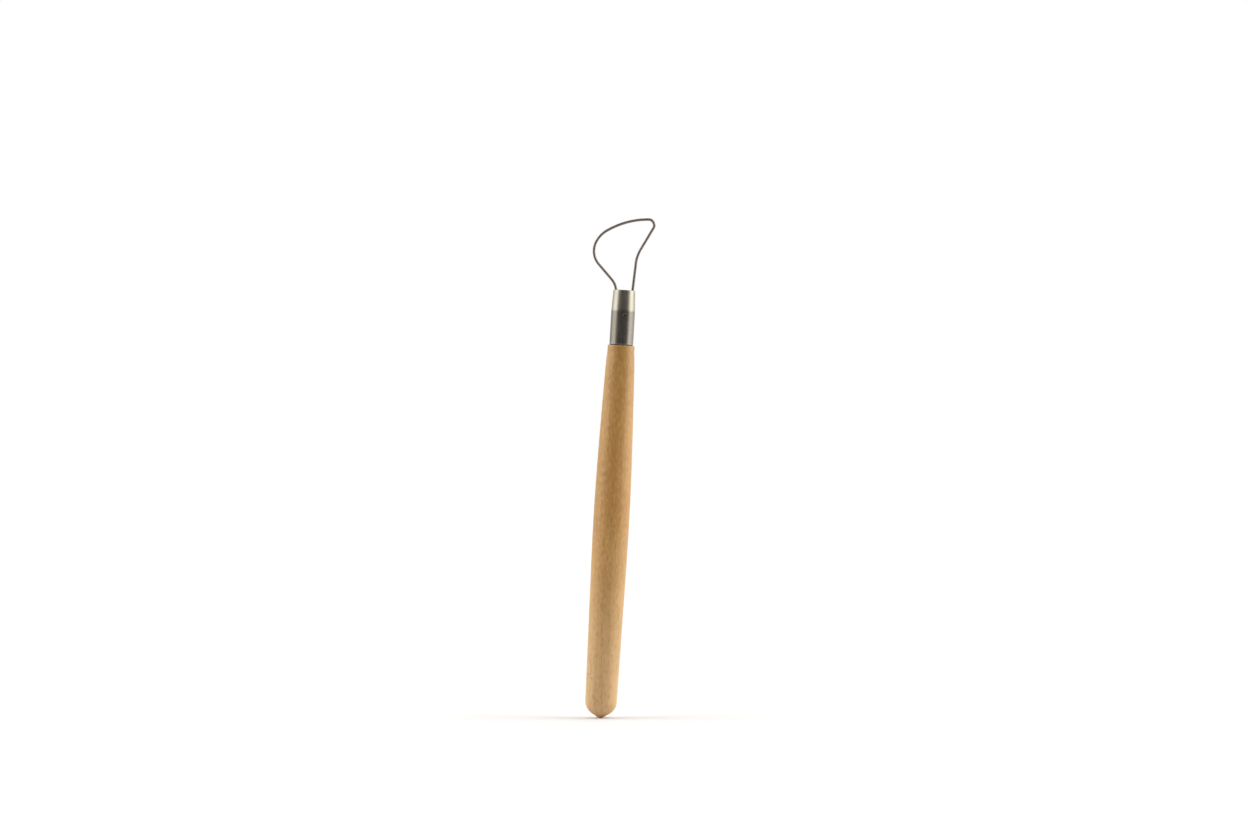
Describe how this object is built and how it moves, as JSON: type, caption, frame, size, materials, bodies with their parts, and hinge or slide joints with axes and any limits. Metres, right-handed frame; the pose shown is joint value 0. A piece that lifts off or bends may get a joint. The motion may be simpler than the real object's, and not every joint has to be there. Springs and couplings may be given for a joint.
{
  "type": "clay modeling tool",
  "caption": "Wire loop tool for trimming clay: a slim turned wooden handle, a tapered metal ferrule and an asymmetric loop of round steel wire.",
  "frame": {"origin": "on the handle's axis, at the lowest point of the butt", "axes": "+Z along the handle, from the butt to the loop; the loop lies in the XZ plane with its sharp corner towards +X; the front faces -Y"},
  "size_m": [0.0245, 0.0144, 0.1997],
  "materials": {
    "beech": "sanded beech with a thin satin sealer, fine short flecks along the grain",
    "ferrule_metal": "drawn tube, dull nickel, fine lengthwise polishing marks",
    "wire_steel": "drawn spring steel wire, dark, faint lengthwise drawing marks",
    "adhesive": "set clear amber adhesive"
  },
  "bodies": {
    "root": {"handle": "beech", "ferrule": "ferrule_metal", "wire_loop": "wire_steel", "glue": "adhesive"}
  },
  "joints": []
}
